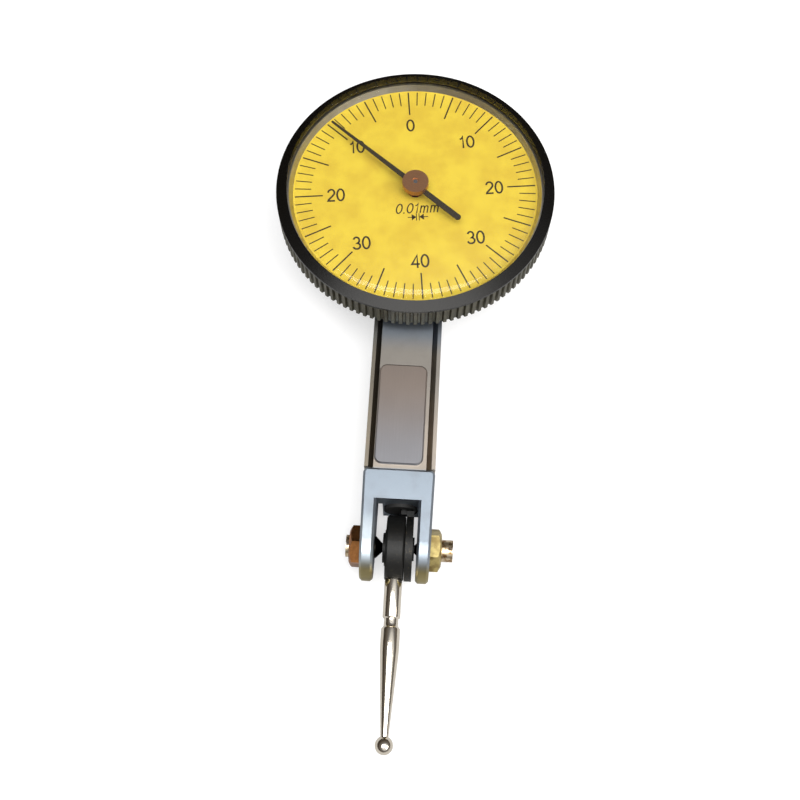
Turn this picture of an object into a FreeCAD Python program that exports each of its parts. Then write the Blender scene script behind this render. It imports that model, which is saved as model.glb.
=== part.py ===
"""Dial test indicator of the horizontal lever type, built as its separate pieces, in millimetres.

The instrument lies on its back. +Z is the way the dial faces, and the stylus points along -Y. The origin is
where the dial's axis meets the flat back face of the body bar.

The stylus sits in a round hub that is held by friction on the axle of the measuring lever. The lever swings
on two cone screws in the fork. A pin on its tail moves a sector lever, whose teeth turn a small pinion. The
crown wheel on the same arbor turns the centre pinion, and that arbor carries the pointer.
"""

import FreeCAD, Part
import math
import os

Vector = FreeCAD.Vector
X_AXIS = Vector(1, 0, 0)
Y_AXIS = Vector(0, 1, 0)
Z_AXIS = Vector(0, 0, 1)

# Gear train: one pointer turn is MEASURING_SPAN of stylus travel
MEASURING_SPAN = 0.8
LEVER_STEP_UP = 25 / 16
SECTOR_FULL_TEETH = 288
SECTOR_PINION_TEETH = 12
SECTOR_MODULE = 0.12
CROWN_TEETH = 60
CENTRE_PINION_TEETH = 12
CROWN_MODULE = 0.1
LEVER_SWING = 2.5
SECTOR_R = SECTOR_MODULE * SECTOR_FULL_TEETH / 2
SECTOR_PINION_R = SECTOR_MODULE * SECTOR_PINION_TEETH / 2
CROWN_R = CROWN_MODULE * CROWN_TEETH / 2
CENTRE_PINION_R = CROWN_MODULE * CENTRE_PINION_TEETH / 2
TOTAL_RATIO = LEVER_STEP_UP * (SECTOR_R / SECTOR_PINION_R) * (CROWN_R / CENTRE_PINION_R)

# Clearances: running, seated, and loose
FIT = 0.03
SEAT_PLAY = 0.05
LOOSE = 0.15

# Body bar, with a dovetail rail along each side
BODY_THICK = 8.6
RAIL_WIDTH = 9.2
RAIL_FACE = 6.0
RAIL_LAND = 0.5
RAIL_FLANK = 0.9
RAIL_PROUD = 1.2
DECK_DROP = 0.45
BAR_CORNER = 1.2
RAIL_END_GAP = 0.5
DECK_WIDTH = RAIL_WIDTH - 2 * RAIL_PROUD
MID_Z = BODY_THICK / 2
DECK_Z = BODY_THICK - DECK_DROP

# Fork that holds the stylus pivot
PIVOT_REACH = 48.0
FORK_ARM = 1.9
WINDOW_DEPTH = 5.35
FORK_BLOCK = 4.0
FORK_TAPER = 0.25
FORK_CORNER = 0.7
NOSE_EDGE = 0.3
NUT_SEAT_CUT = 0.2
WINDOW_WIDTH = RAIL_WIDTH - 2 * FORK_ARM
NUT_SEAT_X = RAIL_WIDTH / 2 - NUT_SEAT_CUT
PIVOT_Y = -PIVOT_REACH
WINDOW_TOP = PIVOT_Y + WINDOW_DEPTH
FORK_TOP = WINDOW_TOP + FORK_BLOCK
FORK_TIP_Y = PIVOT_Y - MID_Z

# Cover plate over the lever channel
COVER_LENGTH = 13.8
COVER_INSET = 0.25
COVER_OFFSET = 0.2
COVER_RISE = 0.4
COVER_GAP = 0.6
COVER_CORNER = 1.0
COVER_RIB = 0.7
COVER_EDGE = 0.18
COVER_WIDTH = DECK_WIDTH - 2 * COVER_INSET
COVER_Y0 = FORK_TOP + COVER_GAP
COVER_Y1 = COVER_Y0 + COVER_LENGTH

# Channel for the levers and pocket for the crown wheel
CHANNEL_X0 = 0.2
CHANNEL_X1 = 2.5
CHANNEL_HEIGHT = 5.4
MOUTH_INSET = 0.6
POCKET_LEFT_WALL = 0.9
POCKET_RIGHT_WALL = 0.7
POCKET_PLAY = 0.7
POCKET_X0 = POCKET_LEFT_WALL - DECK_WIDTH / 2
POCKET_X1 = DECK_WIDTH / 2 - POCKET_RIGHT_WALL
CHANNEL_TOP = MID_Z + CHANNEL_HEIGHT / 2

# Pivot screws, lock nuts and the seal round the lever's tail
SCREW_R = 1.4
CONE_MOUTH_R = 0.5
CONE_DEPTH = 0.35
LEFT_SCREW_STANDS = 0.45
RIGHT_SCREW_STANDS = 1.45
SLOT_WIDTH = 0.45
SLOT_DEPTH = 0.6
NUT_FLATS = 4.8
NUT_THICK = 1.45
NUT_CHAMFER = 0.35
SEAL_R = 2.15
SEAL_X = 0.4
SEAL_STANDS = 0.45
SEAL_SPIGOT_R = 1.8
SEAL_SPIGOT = 2.2
RELIEF_DEEP = 2.4
RELIEF_ROOF = 2.7
RELIEF_WALL = 0.2
SEAL_Y = WINDOW_TOP - SEAL_STANDS

# Stylus hub, lever cheek and the friction washer
HUB_R = 4.2
HUB_WIDTH = 2.4
HUB_EDGE = 0.25
HUB_FLAT = 4.0
AXLE_R = 1.5
AXLE_END = 0.2
CHEEK_R = 4.1
CHEEK_THICK = 0.95
WASHER_R = 2.3
WASHER_THICK = 0.15
COLLAR_R = 1.9
COLLAR_THICK = 0.25
ARM_HALF = 0.95
TAIL_X0 = 0.5
TAIL_THICK = 0.65
TAIL_HEIGHT = 1.2
TAIL_JOG = 0.4
TAIL_END = 0.65
TAIL_PIN_R = 0.3
HUB_X1 = HUB_WIDTH / 2
CHEEK_X0 = HUB_X1 + SEAT_PLAY
CHEEK_X1 = CHEEK_X0 + CHEEK_THICK
TAIL_X1 = TAIL_X0 + TAIL_THICK
JOG_Y1 = SEAL_Y - LOOSE
JOG_Y0 = JOG_Y1 - TAIL_JOG
AXLE_X0 = -HUB_X1 - WASHER_THICK - COLLAR_THICK
AXLE_X1 = CHEEK_X1 + AXLE_END

# Stylus, screwed into the hub
STYLUS_LENGTH = MEASURING_SPAN * TOTAL_RATIO / (2 * math.pi)
BALL_R = 1.1
SHANK_R = 1.1
SHANK_LENGTH = 4.9
WAIST_R = 0.9
WAIST_LENGTH = 1.15
GRIP_R = 1.18
GRIP_LENGTH = 2.45
NECK_R = 0.48
NECK_SUNK = 0.35
STUD_R = 0.75
STUD_LENGTH = 1.8
STYLUS_EDGE = 0.12
BALL_Y = PIVOT_Y - STYLUS_LENGTH
SHANK_Y = PIVOT_Y - HUB_FLAT

# Sector lever and its pivot pin
SECTOR_X0 = 1.35
SECTOR_THICK = 0.6
SECTOR_PIN_R = 0.6
SECTOR_PIN_X0 = -0.8
SECTOR_PIN_SUNK = 0.3
SECTOR_BOSS_R = 1.35
SECTOR_BOSS_X0 = 0.4
SECTOR_BOSS_X1 = 2.3
SECTOR_ARM_ROOT = 0.9
SECTOR_ARM_TIP = 0.6
SECTOR_RIM = 1.1
SECTOR_TOE = 1.0
SECTOR_SPARE_TEETH = 1
SECTOR_Y = -(SECTOR_R + SECTOR_PINION_R)
LEVER_INPUT = (PIVOT_REACH + SECTOR_Y) / (1 + LEVER_STEP_UP)
CONTACT_Y = SECTOR_Y - LEVER_INPUT
SECTOR_X1 = SECTOR_X0 + SECTOR_THICK

# Crown wheel, its arbor and the jewels
ARBOR_R = 0.35
PIVOT_R = 0.15
PIVOT_LENGTH = 0.4
CROWN_WEB = 0.4
CROWN_FACE = 0.55
CROWN_HUB_R = 0.8
CROWN_HUB = 0.5
CROWN_HOLES = 5
CROWN_HOLE_R = 0.5
CROWN_HOLE_RING = 1.75
SECTOR_PINION_WIDTH = 0.9
JEWEL_R = 0.45
JEWEL_THICK = 0.5
CROWN_TIP_R = CROWN_R + CROWN_FACE / 2
CROWN_ROOT_X = -CENTRE_PINION_R - 1.2 * CROWN_MODULE
POCKET_Y = CROWN_TIP_R + POCKET_PLAY
POCKET_Z = MID_Z - CROWN_TIP_R - LOOSE

# Bezel and its spring ring
BEZEL_OD = 38.0
BEZEL_RIM = 1.5
BEZEL_WALL = 1.0
DIAL_SHOULDER = 1.0
BEZEL_GAP = 0.3
BEZEL_CHAMFER = 0.35
KNURL_COUNT = 120
KNURL_DEPTH = 0.32
KNURL_LAND = 0.42
KNURL_FLOOR = 0.3
SNAP_WIRE = 0.5
SNAP_LIFT = 1.4
SNAP_OPEN = 24
BEZEL_R = BEZEL_OD / 2
BEZEL_LIP_R = BEZEL_R - BEZEL_RIM
BEZEL_SEAT_R = BEZEL_R - BEZEL_WALL
BEZEL_BORE_R = BEZEL_SEAT_R - DIAL_SHOULDER
SEAT_R = BEZEL_SEAT_R - SEAT_PLAY

# Case behind the dial
CASE_PLAY = 0.3
CASE_WALL = 0.8
CASE_FLOOR = 1.05
CASE_FLANGE_INSET = 1.1
CASE_FLANGE_CHAMFER = 0.5
CASE_RIM_GAP = 0.2
CASE_HOLE_R = 1.2
CASE_SCREW_R = 0.7
CASE_SCREW_HEAD_R = 1.25
CASE_SCREW_HEAD = 0.5
CASE_SCREW_DEEP = 2.0
CASE_SCREW_X = -1.6
CASE_SCREW_FRONT = 2.9
CASE_SCREW_REAR = 1.9
CASE_SCREW_PITCH = 4.2
BAR_REAR_INSET = 1.7
CASE_R = BEZEL_BORE_R - CASE_PLAY
CASE_INNER_R = CASE_R - CASE_WALL
CASE_FLANGE_R = BEZEL_R - CASE_FLANGE_INSET
BAR_REAR = CASE_FLANGE_R - BAR_REAR_INSET
CASE_SCREW_PLACES = (
    (CASE_SCREW_X, CASE_SCREW_FRONT - CASE_INNER_R),
    (0, CASE_INNER_R - CASE_SCREW_REAR - CASE_SCREW_PITCH),
    (0, CASE_INNER_R - CASE_SCREW_REAR),
)
CASE_FLOOR_Z = DECK_Z + CASE_FLOOR
BEZEL_BACK = CASE_FLOOR_Z + BEZEL_GAP
SNAP_Z = BEZEL_BACK + SNAP_LIFT

# Dial, dial ring and crystal
DIAL_LIFT = 3.1
DIAL_THICK = 0.4
DIAL_HOLE_R = 1.0
DIAL_TURN = 6.4
DIAL_NOTCH_R = 0.4
KNURL_OVER_DIAL = 0.7
EDGE_OVER_DIAL = 1.05
LIP_OVER_DIAL = 1.45
BEZEL_LIP = 0.3
RING_INSET = 0.2
RING_SLANT = 0.5
CRYSTAL_WALL = 0.8
CRYSTAL_FLANGE = 0.4
CRYSTAL_STANDS = 1.25
CRYSTAL_DOME = 0.9
CRYSTAL_BEND = 0.4
DOME_RINGS = 3
DIAL_Z = BEZEL_BACK + DIAL_LIFT
CASE_RIM_Z = DIAL_Z - DIAL_THICK - CASE_RIM_GAP
BEZEL_KNURL_TOP = DIAL_Z + KNURL_OVER_DIAL
BEZEL_FRONT_EDGE = DIAL_Z + EDGE_OVER_DIAL
BEZEL_LIP_TOP = DIAL_Z + LIP_OVER_DIAL
RING_TOP_R = BEZEL_LIP_R - RING_INSET
RING_FOOT_R = RING_TOP_R - RING_SLANT
FLANGE_Z1 = BEZEL_LIP_TOP - BEZEL_LIP
FLANGE_Z0 = FLANGE_Z1 - CRYSTAL_FLANGE
CRYSTAL_SHOULDER = BEZEL_LIP_TOP + CRYSTAL_STANDS
CRYSTAL_TOP = CRYSTAL_SHOULDER + CRYSTAL_DOME

# Bridge over the centre arbor, and the cock below it
PILLAR_HEIGHT = 1.5
PILLAR_X = 5.8
PILLAR_R = 1.1
BRIDGE_THICK = 0.7
BRIDGE_LENGTH = 15.0
BRIDGE_WIDTH = 4.4
BRIDGE_SCREW_R = 0.5
BRIDGE_SCREW_HEAD_R = 0.95
BRIDGE_SCREW_HEAD = 0.35
BRIDGE_SCREW_DEEP = 1.0
COCK_RISE = 1.8
COCK_THICK = 0.5
COCK_TIP = 0.42
COCK_WIDTH = 1.45
COCK_JEWEL_R = 0.3
COCK_SCREW_R = 0.35
COCK_SCREW_HEAD_R = 0.62
COCK_SCREW_HEAD = 0.3
COCK_SCREW_DEEP = 1.5
COCK_LEDGE = 3.2
BRIDGE_Z = CASE_FLOOR_Z + PILLAR_HEIGHT
BRIDGE_TOP = BRIDGE_Z + BRIDGE_THICK
COCK_Z = MID_Z + COCK_RISE
COCK_TOP = COCK_Z + COCK_THICK

# Centre arbor, hairspring and pointer
CENTRE_R = 0.4
CENTRE_PIVOT_R = 0.14
CENTRE_NECK_R = 0.28
CENTRE_PINION_LENGTH = 1.0
SPRING_LIFT = 0.45
SPRING_HEIGHT = 0.4
SPRING_STRIP = 0.1
SPRING_PITCH = 0.5
SPRING_HALF_TURNS = 9
SPRING_GAP = 0.12
STUD_POST_R = 0.45
COLLET_R = 0.9
COLLET_HEIGHT = 0.6
POINTER_LIFT = 1.5
POINTER_THICK = 0.15
POINTER_SHORT = 1.2
POINTER_TAIL = 7.6
POINTER_TIP_WIDTH = 0.3
POINTER_ROOT_WIDTH = 0.75
POINTER_TAIL_WIDTH = 0.85
POINTER_TURN = 51.3
POINTER_HUB_R = 1.78
POINTER_HUB = 0.85
POINTER_BOSS_R = 0.8
POINTER_BOSS = 0.9
POINTER_DIMPLE_R = 0.22
POINTER_DIMPLE = 0.12
POINTER_TIP = RING_FOOT_R - POINTER_SHORT
SPRING_Z = CASE_FLOOR_Z + SPRING_LIFT
POINTER_Z = DIAL_Z + POINTER_LIFT
POINTER_TOP = POINTER_Z + POINTER_THICK
HUB_TOP = POINTER_TOP + POINTER_HUB


def box(x0, x1, y0, y1, z0, z1):
    """A block between two corners."""
    return Part.makeBox(x1 - x0, y1 - y0, z1 - z0, Vector(x0, y0, z0))


def rod_x(radius, x0, x1, y=0.0, z=MID_Z):
    """A round bar along X."""
    return Part.makeCylinder(radius, x1 - x0, Vector(x0, y, z), X_AXIS)


def rod_y(radius, y0, y1, x=0.0, z=MID_Z):
    """A round bar along Y."""
    return Part.makeCylinder(radius, y1 - y0, Vector(x, y0, z), Y_AXIS)


def rod_z(radius, z0, z1, x=0.0, y=0.0):
    """A round bar along Z."""
    return Part.makeCylinder(radius, z1 - z0, Vector(x, y, z0), Z_AXIS)


def ring_z(outer, inner, z0, z1):
    """A flat ring about Z."""
    return rod_z(outer, z0, z1).cut(rod_z(inner, z0 - 1, z1 + 1))


def turned(points):
    """A body turned about Z from (radius, height) points."""
    outline = [Vector(r, 0, z) for r, z in points]
    return Part.Face(Part.makePolygon(outline + outline[:1])).revolve(Vector(0, 0, 0), Z_AXIS, 360)


def plate(points, z0, z1):
    """A flat plate with straight edges, from (x, y) points."""
    outline = [Vector(x, y, z0) for x, y in points]
    return Part.Face(Part.makePolygon(outline + outline[:1])).extrude(Vector(0, 0, z1 - z0))


def side_plate(points, x0, x1):
    """A flat plate that stands across X, from (y, z) points."""
    outline = [Vector(x0, y, z) for y, z in points]
    return Part.Face(Part.makePolygon(outline + outline[:1])).extrude(Vector(x1 - x0, 0, 0))


def round_cornered(x0, x1, y0, y1, z0, z1, corner):
    """A block whose four upright edges are rounded."""
    block = box(x0, x1, y0, y1, z0, z1)
    upright = [e for e in block.Edges if e.BoundBox.ZLength > (z1 - z0) / 2]
    return block.makeFillet(corner, upright)


def polar(radius, degrees):
    """The point of a circle at an angle counted from the first axis."""
    angle = math.radians(degrees)
    return radius * math.cos(angle), radius * math.sin(angle)


def shifted(points, du, dv):
    """Points of an outline, moved."""
    return [(u + du, v + dv) for u, v in points]


def tooth_points(pitch_r, module, pitch_deg, centre_deg):
    """Four corners of one straight-flanked gear tooth, in order of angle."""
    root_half = 0.30 * pitch_deg
    tip_half = 0.12 * pitch_deg
    root_r = pitch_r - 1.2 * module
    tip_r = pitch_r + module
    return [
        polar(root_r, centre_deg - root_half),
        polar(tip_r, centre_deg - tip_half),
        polar(tip_r, centre_deg + tip_half),
        polar(root_r, centre_deg + root_half),
    ]


def pinion_outline(module, teeth):
    """Outline of a pinion that has the middle of a tooth gap at 180 degrees."""
    pitch_deg = 360 / teeth
    points = []
    for i in range(teeth):
        points += tooth_points(module * teeth / 2, module, pitch_deg, 180 + (i + 0.5) * pitch_deg)
    return points


def fork():
    """The fork: a block with two tapered arms, rounded off about the stylus pivot."""
    top = RAIL_WIDTH / 2
    tip = top - FORK_TAPER
    outline = [(-top, FORK_TOP), (-tip, FORK_TIP_Y), (tip, FORK_TIP_Y), (top, FORK_TOP)]
    solid = plate(outline, 0, BODY_THICK)
    corners = [e for e in solid.Edges if e.BoundBox.YMin > FORK_TOP - 0.01 and e.BoundBox.XLength < 0.01]
    solid = solid.makeFillet(FORK_CORNER, corners)
    side = box(-top, top, PIVOT_Y, FORK_TOP, 0, BODY_THICK).fuse(rod_x(MID_Z, -top, top, PIVOT_Y))
    solid = solid.common(side).removeSplitter()
    half = WINDOW_WIDTH / 2
    solid = solid.cut(box(-half, half, FORK_TIP_Y - 1, WINDOW_TOP, -1, BODY_THICK + 1))
    round_ends = [e for e in solid.Edges if e.BoundBox.YMax < PIVOT_Y + 0.01 and e.BoundBox.YLength > 1]
    solid = solid.makeChamfer(NOSE_EDGE, round_ends)
    return solid


def bar():
    """The bar: a deck front and back, and a dovetail rail along each side."""
    deck, rail = DECK_WIDTH / 2, RAIL_WIDTH / 2
    high, low = MID_Z + RAIL_FACE / 2, MID_Z - RAIL_FACE / 2
    right = [
        (deck, 0),
        (deck, low + RAIL_FLANK),
        (rail - RAIL_LAND, low),
        (rail, low),
        (rail, high),
        (rail - RAIL_LAND, high),
        (deck, high - RAIL_FLANK),
        (deck, DECK_Z),
    ]
    corners = right + [(-x, z) for x, z in reversed(right)]
    outline = [Vector(x, FORK_TOP, z) for x, z in corners]
    section = Part.Face(Part.makePolygon(outline + outline[:1]))
    solid = section.extrude(Vector(0, BAR_REAR - FORK_TOP, 0))
    solid = solid.common(round_cornered(-rail, rail, FORK_TOP - 3, BAR_REAR, -1, BODY_THICK, BAR_CORNER))
    for x0, x1 in ((deck, rail + 1), (-rail - 1, -deck)):
        solid = solid.cut(box(x0, x1, FORK_TOP, FORK_TOP + RAIL_END_GAP, MID_Z, BODY_THICK))
    return solid


def body_hollows():
    """What is milled and drilled out of the body."""
    low = MID_Z - CHANNEL_HEIGHT / 2
    spigot_y = WINDOW_TOP + SEAL_SPIGOT
    ledge_y = POCKET_Y + COCK_LEDGE
    cock_x1 = COCK_WIDTH - COCK_TIP
    relief_x = SEAL_X - SEAL_R - RELIEF_WALL
    relief_y = WINDOW_TOP + RELIEF_DEEP
    hollows = [
        box(-WINDOW_WIDTH / 2, relief_x, WINDOW_TOP - 1, relief_y, -1, BODY_THICK - RELIEF_ROOF),
        box(CHANNEL_X0, CHANNEL_X1, spigot_y, -POCKET_Y, low, CHANNEL_TOP),
        box(CHANNEL_X0, CHANNEL_X1, COVER_Y0 + MOUTH_INSET, COVER_Y1 - MOUTH_INSET, MID_Z, BODY_THICK),
        box(CHANNEL_X0, CHANNEL_X1, SECTOR_Y + SECTOR_BOSS_R, -POCKET_Y, MID_Z, BODY_THICK),
        box(POCKET_X0, POCKET_X1, -POCKET_Y, POCKET_Y, POCKET_Z, BODY_THICK),
        box(-COCK_TIP - SEAT_PLAY, cock_x1 + SEAT_PLAY, 0, ledge_y + SEAT_PLAY, COCK_Z, BODY_THICK),
        rod_z(COCK_SCREW_R, COCK_Z - COCK_SCREW_DEEP, COCK_Z, *cock_screw_place()),
        rod_y(SEAL_SPIGOT_R + SEAT_PLAY, WINDOW_TOP - 1, spigot_y, SEAL_X),
        rod_x(SCREW_R + FIT, -RAIL_WIDTH, RAIL_WIDTH, PIVOT_Y),
        rod_x(SECTOR_PIN_R, SECTOR_PIN_X0, RAIL_WIDTH, SECTOR_Y),
        rod_x(JEWEL_R, POCKET_X0 - JEWEL_THICK, POCKET_X1 + JEWEL_THICK),
    ]
    for side in (-1, 1):
        inner = side * NUT_SEAT_X
        outer = side * RAIL_WIDTH
        hollows.append(rod_x(NUT_FLATS * 0.6, min(inner, outer), max(inner, outer), PIVOT_Y))
    for x, y in CASE_SCREW_PLACES:
        hollows.append(rod_z(CASE_SCREW_R, DECK_Z - CASE_SCREW_DEEP, BODY_THICK, x, y))
    return hollows


def body_frame():
    """Bar and fork in one piece of steel, with the channel for the levers."""
    solid = bar().fuse(fork()).removeSplitter()
    return solid.cut(body_hollows()).removeSplitter()


def arm_cover():
    """The raised plate over the lever channel, with a rib that plugs the channel's mouth."""
    x0, x1 = -COVER_WIDTH / 2 - COVER_OFFSET, COVER_WIDTH / 2 - COVER_OFFSET
    top_z = DECK_Z + COVER_RISE
    top = round_cornered(x0, x1, COVER_Y0, COVER_Y1, DECK_Z, top_z, COVER_CORNER)
    rim = [e for e in top.Edges if e.BoundBox.ZMin > top_z - 0.01]
    top = top.makeChamfer(COVER_EDGE, rim)
    y0 = COVER_Y0 + MOUTH_INSET + SEAT_PLAY
    y1 = COVER_Y1 - MOUTH_INSET - SEAT_PLAY
    rib = box(CHANNEL_X0 + SEAT_PLAY, CHANNEL_X1 - SEAT_PLAY, y0, y1, DECK_Z - COVER_RIB, DECK_Z)
    return top.fuse(rib).removeSplitter()


def dial_case():
    """The shallow round pan that sits on the bar and carries the bezel."""
    groove_r = CASE_R - SNAP_WIRE / 2 + (BEZEL_BORE_R - CASE_R) / 2 - FIT
    groove = SNAP_WIRE / 2 + FIT
    pan = turned(
        [
            (CASE_HOLE_R, DECK_Z),
            (CASE_FLANGE_R - CASE_FLANGE_CHAMFER, DECK_Z),
            (CASE_FLANGE_R, DECK_Z + CASE_FLANGE_CHAMFER),
            (CASE_FLANGE_R, CASE_FLOOR_Z),
            (CASE_R, CASE_FLOOR_Z),
            (CASE_R, SNAP_Z - groove),
            (groove_r, SNAP_Z - groove),
            (groove_r, SNAP_Z + groove),
            (CASE_R, SNAP_Z + groove),
            (CASE_R, CASE_RIM_Z),
            (CASE_INNER_R, CASE_RIM_Z),
            (CASE_INNER_R, CASE_FLOOR_Z),
            (CASE_HOLE_R, CASE_FLOOR_Z),
        ]
    )
    for x, y in CASE_SCREW_PLACES:
        pan = pan.cut(rod_z(CASE_SCREW_R, DECK_Z - 1, CASE_FLOOR_Z + 1, x, y))
    return pan


def snap_ring():
    """Open ring of square wire that keeps the bezel on the case and lets it turn."""
    middle = (CASE_R + BEZEL_BORE_R) / 2
    half = SNAP_WIRE / 2
    ring = ring_z(middle + half, middle - half, SNAP_Z - half, SNAP_Z + half)
    x, y = polar(BEZEL_R, 90 - SNAP_OPEN / 2)
    return ring.cut(plate([(0, 0), (x, y), (-x, y)], SNAP_Z - 1, SNAP_Z + 1))


def slotted_screw(x, y, seat_z, shank_r, deep, head_r, head, slot):
    """A cheese-head screw that points down from its seat."""
    solid = rod_z(shank_r, seat_z - deep, seat_z, x, y).fuse(rod_z(head_r, seat_z, seat_z + head, x, y))
    cut = box(x - head_r, x + head_r, y - slot / 2, y + slot / 2, seat_z + head / 2, seat_z + head)
    return solid.cut(cut)


def case_screws():
    """Three screws that hold the case on the bar."""
    deep = CASE_FLOOR + CASE_SCREW_DEEP
    sizes = (CASE_FLOOR_Z, CASE_SCREW_R, deep, CASE_SCREW_HEAD_R, CASE_SCREW_HEAD, SLOT_WIDTH)
    return Part.makeCompound([slotted_screw(x, y, *sizes) for x, y in CASE_SCREW_PLACES])


def cone_x(face_x, outward, extra):
    """A 90 degree cone on the pivot axis that enters an axle end by CONE_DEPTH."""
    tip_r = CONE_MOUTH_R - CONE_DEPTH + extra
    length = SCREW_R - CONE_MOUTH_R + CONE_DEPTH
    start = Vector(face_x - outward * CONE_DEPTH, PIVOT_Y, MID_Z)
    return Part.makeCone(tip_r, SCREW_R + extra, length, start, Vector(outward, 0, 0))


def pivot_screw(face_x, outward, stands):
    """Cone-pointed pivot screw with a screwdriver slot in its outer end."""
    cone_end = face_x + outward * (SCREW_R - CONE_MOUTH_R)
    outer = outward * (NUT_SEAT_X + NUT_THICK + stands)
    shank = rod_x(SCREW_R, min(cone_end, outer), max(cone_end, outer), PIVOT_Y)
    solid = cone_x(face_x, outward, 0).fuse(shank)
    inner = outer - outward * SLOT_DEPTH
    half = SLOT_WIDTH / 2
    x0, x1 = min(inner, outer), max(inner, outer)
    slot = box(x0, x1, PIVOT_Y - half, PIVOT_Y + half, MID_Z - SCREW_R, MID_Z + SCREW_R)
    return solid.cut(slot).removeSplitter()


def lock_nut(outward, corner_deg):
    """Chamfered hexagon nut that locks a pivot screw against the fork."""
    corner_r = NUT_FLATS / math.sqrt(3)
    inner = outward * NUT_SEAT_X
    outer = inner + outward * NUT_THICK
    points = shifted([polar(corner_r, corner_deg + 60 * i) for i in range(6)], PIVOT_Y, MID_Z)
    prism = side_plate(points, min(inner, outer), max(inner, outer))
    end_r = corner_r - 2 * NUT_CHAMFER
    wide_r = end_r + NUT_THICK / math.tan(math.radians(30))
    start = Vector(outer, PIVOT_Y, MID_Z)
    cone = Part.makeCone(end_r, wide_r, NUT_THICK, start, Vector(-outward, 0, 0))
    bore = rod_x(SCREW_R + FIT, min(inner, outer) - 1, max(inner, outer) + 1, PIVOT_Y)
    return prism.common(cone).cut(bore)


def lever_seal():
    """Black plug in the fork block, slotted for the lever's tail."""
    spigot_y = WINDOW_TOP + SEAL_SPIGOT
    spigot = rod_y(SEAL_SPIGOT_R, WINDOW_TOP, spigot_y, SEAL_X)
    solid = rod_y(SEAL_R, SEAL_Y, WINDOW_TOP, SEAL_X).fuse(spigot)
    rise = (spigot_y - PIVOT_Y) * math.tan(math.radians(LEVER_SWING))
    half = TAIL_HEIGHT / 2 + rise + LOOSE
    slot = box(TAIL_X0 - LOOSE, TAIL_X1 + LOOSE, SEAL_Y - 1, spigot_y + 1, MID_Z - half, MID_Z + half)
    return solid.cut(slot).removeSplitter()


def stylus_hub():
    """Round hub that grips the stylus and turns on the lever's axle against friction."""
    solid = rod_x(HUB_R, -HUB_X1, HUB_X1, PIVOT_Y)
    solid = solid.makeChamfer(HUB_EDGE, [e for e in solid.Edges if e.BoundBox.XLength < 0.01])
    solid = solid.cut(box(-HUB_WIDTH, HUB_WIDTH, SHANK_Y - HUB_R, SHANK_Y, -HUB_R, BODY_THICK + HUB_R))
    solid = solid.cut(rod_x(AXLE_R + FIT, -HUB_WIDTH, HUB_WIDTH, PIVOT_Y))
    return solid.cut(rod_y(STUD_R + FIT, SHANK_Y - 1, SHANK_Y + STUD_LENGTH + LOOSE))


def stylus():
    """Stylus of turned steel: threaded stud, shank, waist, grip and long taper."""
    waist_y = SHANK_Y - SHANK_LENGTH
    grip_y = waist_y - WAIST_LENGTH
    taper_y = grip_y - GRIP_LENGTH
    ball_y = BALL_Y + math.sqrt(BALL_R**2 - NECK_R**2) - NECK_SUNK
    steps = [
        (0, SHANK_Y + STUD_LENGTH),
        (STUD_R, SHANK_Y + STUD_LENGTH),
        (STUD_R, SHANK_Y),
        (SHANK_R - STYLUS_EDGE, SHANK_Y),
        (SHANK_R, SHANK_Y - STYLUS_EDGE),
        (SHANK_R, waist_y + STYLUS_EDGE),
        (WAIST_R, waist_y),
        (WAIST_R, grip_y),
        (GRIP_R, grip_y - STYLUS_EDGE),
        (GRIP_R, taper_y),
        (NECK_R, ball_y),
        (0, ball_y),
    ]
    outline = [Vector(r, y, MID_Z) for r, y in steps]
    face = Part.Face(Part.makePolygon(outline + outline[:1]))
    return face.revolve(Vector(0, 0, MID_Z), Y_AXIS, 360)


def contact_ball():
    """Hard ball at the stylus tip, bored for the neck."""
    ball = Part.makeSphere(BALL_R, Vector(0, BALL_Y, MID_Z))
    return ball.cut(stylus())


def measuring_lever():
    """Lever: a round cheek beside the hub, a jog past the hub, and a thin tail through the seal."""
    cheek = rod_x(CHEEK_R, CHEEK_X0, CHEEK_X1, PIVOT_Y)
    half = TAIL_HEIGHT / 2
    arm = box(CHEEK_X0, CHEEK_X1, PIVOT_Y, JOG_Y1, MID_Z - ARM_HALF, MID_Z + ARM_HALF)
    jog = box(TAIL_X0, CHEEK_X1, JOG_Y0, JOG_Y1, MID_Z - half, MID_Z + half)
    tail = box(TAIL_X0, TAIL_X1, JOG_Y0, CONTACT_Y + TAIL_END, MID_Z - half, MID_Z + half)
    solid = cheek.fuse([arm, jog, tail]).removeSplitter()
    solid = solid.cut(rod_x(AXLE_R, CHEEK_X0 - 1, CHEEK_X1 + 1, PIVOT_Y))
    return solid.cut(rod_x(TAIL_PIN_R, TAIL_X0 - 1, TAIL_X1 + 1, CONTACT_Y))


def lever_axle():
    """Axle of lever and hub, with a retaining collar and a cone seat in each end."""
    solid = rod_x(AXLE_R, AXLE_X0, AXLE_X1, PIVOT_Y)
    solid = solid.fuse(rod_x(COLLAR_R, AXLE_X0, AXLE_X0 + COLLAR_THICK, PIVOT_Y)).removeSplitter()
    return solid.cut([cone_x(AXLE_X0, -1, FIT * 1.5), cone_x(AXLE_X1, 1, FIT * 1.5)])


def friction_washer():
    """Spring washer that presses the hub against the lever's cheek."""
    x0 = AXLE_X0 + COLLAR_THICK
    return rod_x(WASHER_R, x0, x0 + WASHER_THICK, PIVOT_Y).cut(rod_x(AXLE_R, x0 - 1, x0 + 1, PIVOT_Y))


def contact_pin():
    """Pin on the lever's tail that moves the sector lever."""
    return rod_x(TAIL_PIN_R, TAIL_X0, SECTOR_X1 + LOOSE, CONTACT_Y)


def sector_pivot_pin():
    """Pin that the sector lever swings on, pressed into the bar."""
    return rod_x(SECTOR_PIN_R, SECTOR_PIN_X0, RAIL_WIDTH / 2 - SECTOR_PIN_SUNK, SECTOR_Y)


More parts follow.
